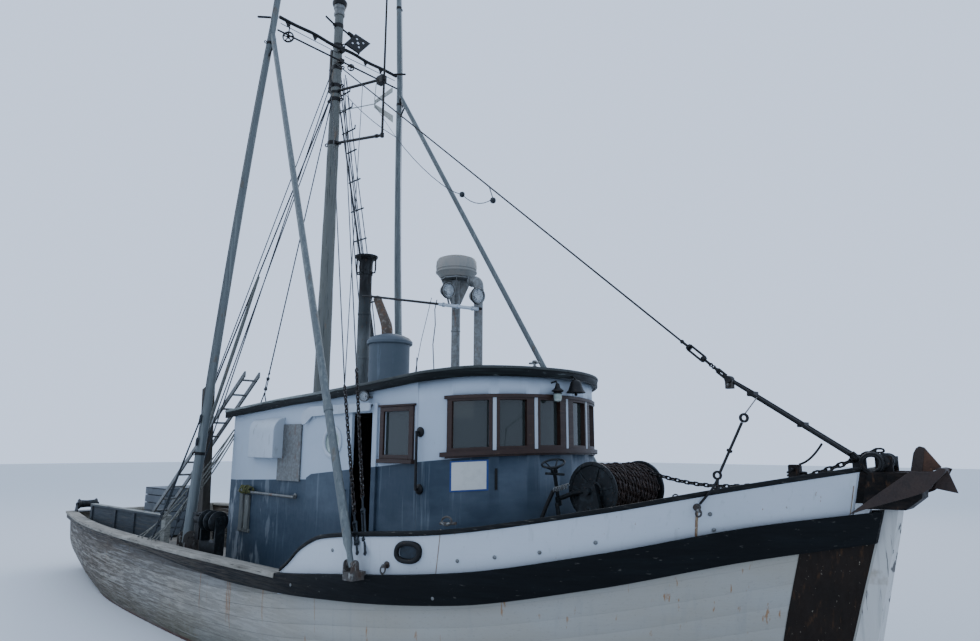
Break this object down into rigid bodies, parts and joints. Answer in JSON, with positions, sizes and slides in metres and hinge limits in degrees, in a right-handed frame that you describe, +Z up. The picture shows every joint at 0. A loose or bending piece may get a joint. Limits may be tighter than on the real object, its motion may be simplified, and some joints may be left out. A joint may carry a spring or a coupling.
{
  "type": "fishing troller",
  "caption": "Wooden fishing troller with a rounded wheelhouse, mast, folding trolling poles, anchor winch, rudder and propeller, afloat.",
  "frame": {"origin": "on the centreline at the waterline, amidships", "axes": "+X towards the bow, +Y to port, +Z up"},
  "size_m": [13.87, 4.5358, 14.7835],
  "materials": {
    "white_paint": "weathered white paint over planks",
    "black_paint": "worn black paint over timber",
    "blue_paint": "slate blue paint below, white above",
    "old_wood": "bare weathered timber",
    "warm_wood": "varnished brown timber",
    "galvanised": "dull galvanised metal",
    "rusty_steel": "rusted steel",
    "dark_steel": "dark painted steel",
    "bronze": "dull bronze",
    "glass": "window glass",
    "white_plastic": "white radar cover"
  },
  "bodies": {
    "boat": {"hull": "white_paint", "keel": "old_wood", "stem_post": "white_paint", "rail_aft_starboard": "old_wood", "rail_aft_port": "old_wood", "bulwark_forward_starboard": "white_paint", "bulwark_forward_port": "white_paint", "guard_forward_starboard": "black_paint", "guard_forward_port": "black_paint", "cap_forward_starboard": "black_paint", "cap_forward_port": "black_paint", "stern_rail": "old_wood", "roof": "white_paint", "house_side_starboard": "blue_paint", "house_side_port": "blue_paint", "house_back": "blue_paint", "house_front": "blue_paint", "front_windows": "warm_wood", "side_window_starboard": "warm_wood", "side_window_port": "warm_wood", "door_track": "white_paint", "vent_box": "white_paint", "wall_hatch": "galvanised", "exhaust_stack": "dark_steel", "water_tank": "galvanised", "radar_post": "galvanised", "radome": "white_plastic", "vent_post": "galvanised", "mast": "old_wood", "crosstree": "galvanised", "mast_pipe": "galvanised", "pole_step_port": "rusty_steel", "pole_step_starboard": "rusty_steel", "brace_step_port": "rusty_steel", "brace_step_starboard": "rusty_steel", "winch_frame": "dark_steel", "bow_head": "black_paint", "anchor": "rusty_steel", "shroud_port": "dark_steel", "shroud_starboard": "dark_steel", "forestay": "dark_steel", "deck_bin_port": "old_wood", "deck_bin_starboard": "old_wood", "deck_post": "old_wood", "hatch_coaming": "old_wood", "gurdy_frame_port": "dark_steel", "gurdy_frame_starboard": "dark_steel"},
    "pole_starboard": {"trolling_pole_starboard": "galvanised", "pole_brace_starboard": "galvanised"},
    "pole_port": {"trolling_pole_port": "galvanised", "pole_brace_port": "galvanised"},
    "door": {"door": "white_paint"},
    "rudder": {"rudder": "old_wood"},
    "propeller": {"propeller": "bronze"},
    "winch_drum": {"winch_drum": "dark_steel"},
    "bow_roller": {"bow_roller": "dark_steel"},
    "hatch_cover": {"hatch_cover": "old_wood"},
    "gurdy_spool_starboard": {"gurdy_spool_starboard": "galvanised"},
    "gurdy_spool_port": {"gurdy_spool_port": "galvanised"}
  },
  "joints": [
    {"name": "pole_starboard_fold", "type": "hinge", "parent": "boat", "child": "pole_starboard", "pos_m": [-1.2, -1.8, 1.043], "axis": [0.9936, -0.1046, 0.0428], "range_deg": [0, 50]},
    {"name": "pole_port_fold", "type": "hinge", "parent": "boat", "child": "pole_port", "pos_m": [-1.2, 1.8, 1.043], "axis": [-0.9936, -0.1046, -0.0428], "range_deg": [0, 50]},
    {"name": "door_slide", "type": "slide", "parent": "boat", "child": "door", "axis": [1, 0, 0], "range_m": [-0.13, 0.33]},
    {"name": "rudder_turn", "type": "hinge", "parent": "boat", "child": "rudder", "pos_m": [-5.45, 0, -0.9], "axis": [0, 0, 1], "range_deg": [-35, 35]},
    {"name": "propeller_spin", "type": "hinge", "parent": "boat", "child": "propeller", "pos_m": [-4.93, 0, -0.95], "axis": [1, 0, 0], "continuous": true},
    {"name": "winch_drum_spin", "type": "hinge", "parent": "boat", "child": "winch_drum", "pos_m": [4.06, 0, 1.8], "axis": [0, 1, 0], "continuous": true},
    {"name": "bow_roller_spin", "type": "hinge", "parent": "boat", "child": "bow_roller", "pos_m": [6.44, 0, 2.104], "axis": [0, 1, 0], "continuous": true},
    {"name": "hatch_cover_lift", "type": "hinge", "parent": "boat", "child": "hatch_cover", "pos_m": [-2.47, 0, 0.98], "axis": [0, 1, 0], "range_deg": [0, 95]},
    {"name": "gurdy_starboard_spin", "type": "hinge", "parent": "boat", "child": "gurdy_spool_starboard", "pos_m": [-0.64, -1.76, 1.29], "axis": [1, 0, 0], "continuous": true},
    {"name": "gurdy_port_spin", "type": "hinge", "parent": "boat", "child": "gurdy_spool_port", "pos_m": [-0.64, 1.76, 1.29], "axis": [1, 0, 0], "continuous": true}
  ]
}
